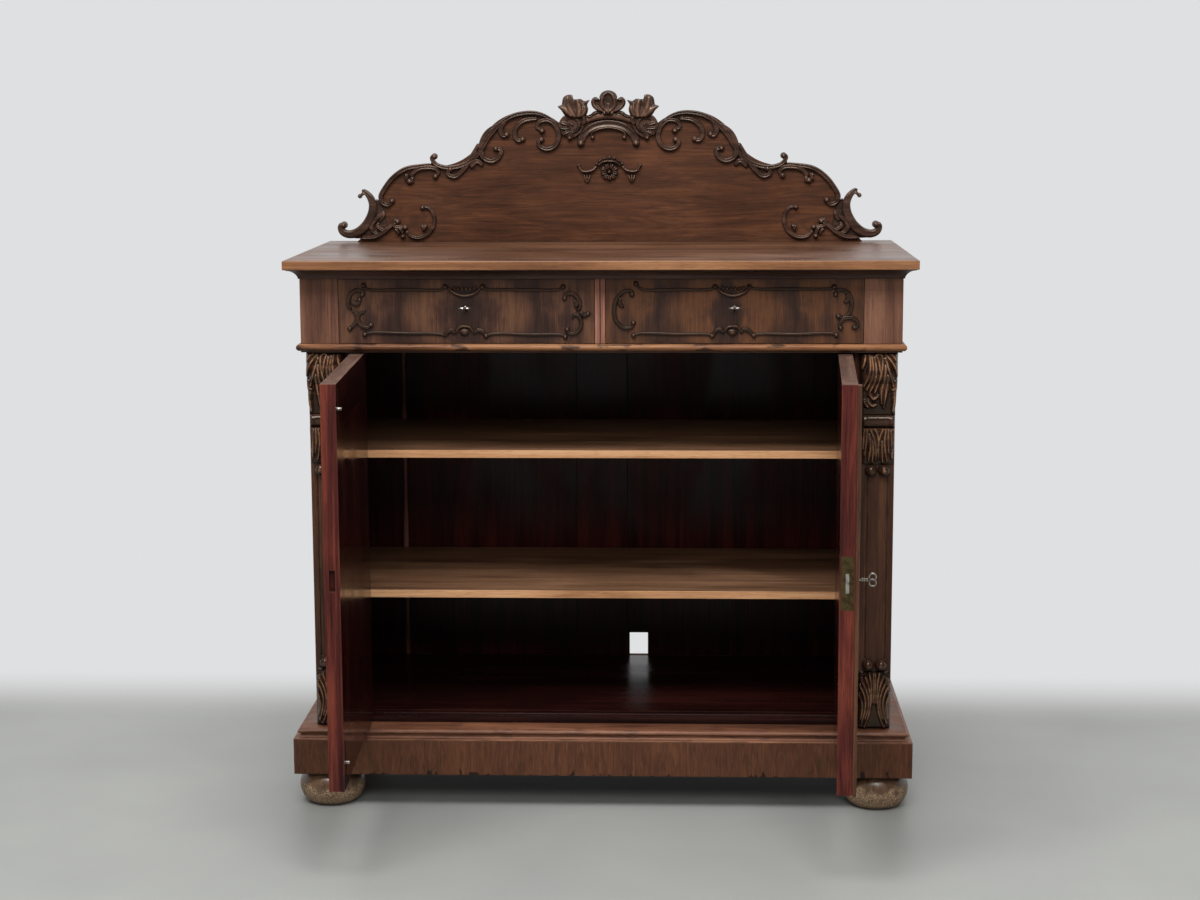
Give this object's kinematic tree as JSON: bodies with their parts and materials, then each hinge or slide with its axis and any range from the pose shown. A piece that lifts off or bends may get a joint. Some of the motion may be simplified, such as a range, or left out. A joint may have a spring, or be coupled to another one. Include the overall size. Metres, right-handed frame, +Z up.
{
  "type": "chiffonier",
  "caption": "Chiffonier with a carved gallery, frieze drawers over a shelved cupboard with paired doors, carved pilasters, moulded plinth and bun feet.",
  "frame": {"origin": "on the floor, at the middle of the space taken up with both doors standing open", "axes": "+Z up, +Y from the doors to the back, +X to the right seen from the front"},
  "size_m": [1.315, 1.0809, 1.514],
  "materials": {
    "walnut": "dark figured walnut, shellac polish, worn at the edges",
    "veneer": "mirrored flame walnut veneer, shellac polish",
    "carving": "carved walnut, dark in the hollows and rubbed on the high points",
    "mahogany": "red-brown stained boards with a gloss finish",
    "shelf_wood": "plain light hardwood with raw front edges",
    "deal": "plain softwood, unfinished",
    "foot_wood": "turned wood, worn light and speckled",
    "brass": "aged brass, olive tarnish",
    "steel": "old steel, brushed by use"
  },
  "bodies": {
    "carcass": {"back_frame": "mahogany", "back_panels": "mahogany", "bases": "carving", "bottom_board": "mahogany", "bun_feet": "foot_wood", "capitals": "carving", "corbels": "carving", "drawer_divider": "walnut", "drawer_guides": "deal", "dust_board": "deal", "frieze_bead": "walnut", "frieze_blocks": "walnut", "frieze_sides": "walnut", "front_stiles": "walnut", "gallery_board": "walnut", "gallery_corner_scrolls": "carving", "gallery_crest": "carving", "gallery_rosette": "carving", "gallery_scrolls": "carving", "hinge_frame_leaves": "brass", "hinge_pins": "steel", "lower_shelf": "shelf_wood", "pilasters": "walnut", "plinth_blocks": "deal", "plinth_boards": "walnut", "plinth_moulding": "walnut", "rear_feet": "deal", "shelf_cleats": "shelf_wood", "side_boards": "walnut", "top_board": "walnut", "top_moulding": "walnut", "top_rails": "deal", "upper_shelf": "shelf_wood"},
    "flush_bolt_bottom": {"flush_bolt_bottom": "steel"},
    "flush_bolt_top": {"flush_bolt_top": "steel"},
    "left_door": {"left_door_bolt_plates": "brass", "left_door_carving": "carving", "left_door_frame": "walnut", "left_door_hinge_leaves": "brass", "left_door_panel": "walnut"},
    "left_drawer": {"left_drawer_box": "deal", "left_drawer_carving": "carving", "left_drawer_front": "veneer", "left_drawer_lock_case": "brass"},
    "left_drawer_key": {"left_drawer_key": "steel"},
    "left_drawer_lock_bolt": {"left_drawer_lock_bolt": "steel"},
    "right_door": {"right_door_astragal": "walnut", "right_door_carving": "carving", "right_door_frame": "walnut", "right_door_hinge_leaves": "brass", "right_door_lock_case": "brass", "right_door_panel": "walnut"},
    "right_door_key": {"right_door_key": "steel"},
    "right_door_lock_bolt": {"right_door_lock_bolt": "steel"},
    "right_drawer": {"right_drawer_box": "deal", "right_drawer_carving": "carving", "right_drawer_front": "veneer", "right_drawer_lock_case": "brass"},
    "right_drawer_key": {"right_drawer_key": "steel"},
    "right_drawer_lock_bolt": {"right_drawer_lock_bolt": "steel"}
  },
  "joints": [
    {"name": "left_door_hinge", "type": "hinge", "parent": "carcass", "child": "left_door", "pos_m": [-0.5275, -0.00625, 0.58], "axis": [0, 0, -1], "range_deg": [-88, 17]},
    {"name": "right_door_hinge", "type": "hinge", "parent": "carcass", "child": "right_door", "pos_m": [0.5275, -0.00625, 0.58], "axis": [0, 0, 1], "range_deg": [-87, 18]},
    {"name": "flush_bolt_top_slide", "type": "slide", "parent": "left_door", "child": "flush_bolt_top", "axis": [0, 0, 1], "range_m": [0, 0.012]},
    {"name": "flush_bolt_bottom_slide", "type": "slide", "parent": "left_door", "child": "flush_bolt_bottom", "axis": [0, 0, -1], "range_m": [0, 0.012]},
    {"name": "right_door_key_turn", "type": "hinge", "parent": "right_door", "child": "right_door_key", "pos_m": [0.50193, -0.49408, 0.602], "axis": [0.9986, -0.0523, 0], "range_deg": [0, 90]},
    {"name": "right_door_bolt_slide", "type": "slide", "parent": "right_door", "child": "right_door_lock_bolt", "axis": [-0.0523, -0.9986, 0], "range_m": [0, 0.008]},
    {"name": "left_drawer_slide", "type": "slide", "parent": "carcass", "child": "left_drawer", "axis": [0, -1, 0], "range_m": [0, 0.38]},
    {"name": "left_drawer_key_turn", "type": "hinge", "parent": "left_drawer", "child": "left_drawer_key", "pos_m": [-0.277, -0.04125, 1.075], "axis": [0, -1, 0], "range_deg": [0, 90]},
    {"name": "left_drawer_bolt_slide", "type": "slide", "parent": "left_drawer", "child": "left_drawer_lock_bolt", "axis": [0, 0, 1], "range_m": [0, 0.008]},
    {"name": "right_drawer_slide", "type": "slide", "parent": "carcass", "child": "right_drawer", "axis": [0, -1, 0], "range_m": [0, 0.38]},
    {"name": "right_drawer_key_turn", "type": "hinge", "parent": "right_drawer", "child": "right_drawer_key", "pos_m": [0.277, -0.04125, 1.075], "axis": [0, -1, 0], "range_deg": [0, 90]},
    {"name": "right_drawer_bolt_slide", "type": "slide", "parent": "right_drawer", "child": "right_drawer_lock_bolt", "axis": [0, 0, 1], "range_m": [0, 0.008]}
  ],
  "couplings": [
    {"joint": "right_door_key_turn", "follows": "right_door_bolt_slide", "rad_per_m": 196.34},
    {"joint": "left_drawer_key_turn", "follows": "left_drawer_bolt_slide", "rad_per_m": 196.34},
    {"joint": "right_drawer_key_turn", "follows": "right_drawer_bolt_slide", "rad_per_m": 196.34}
  ]
}
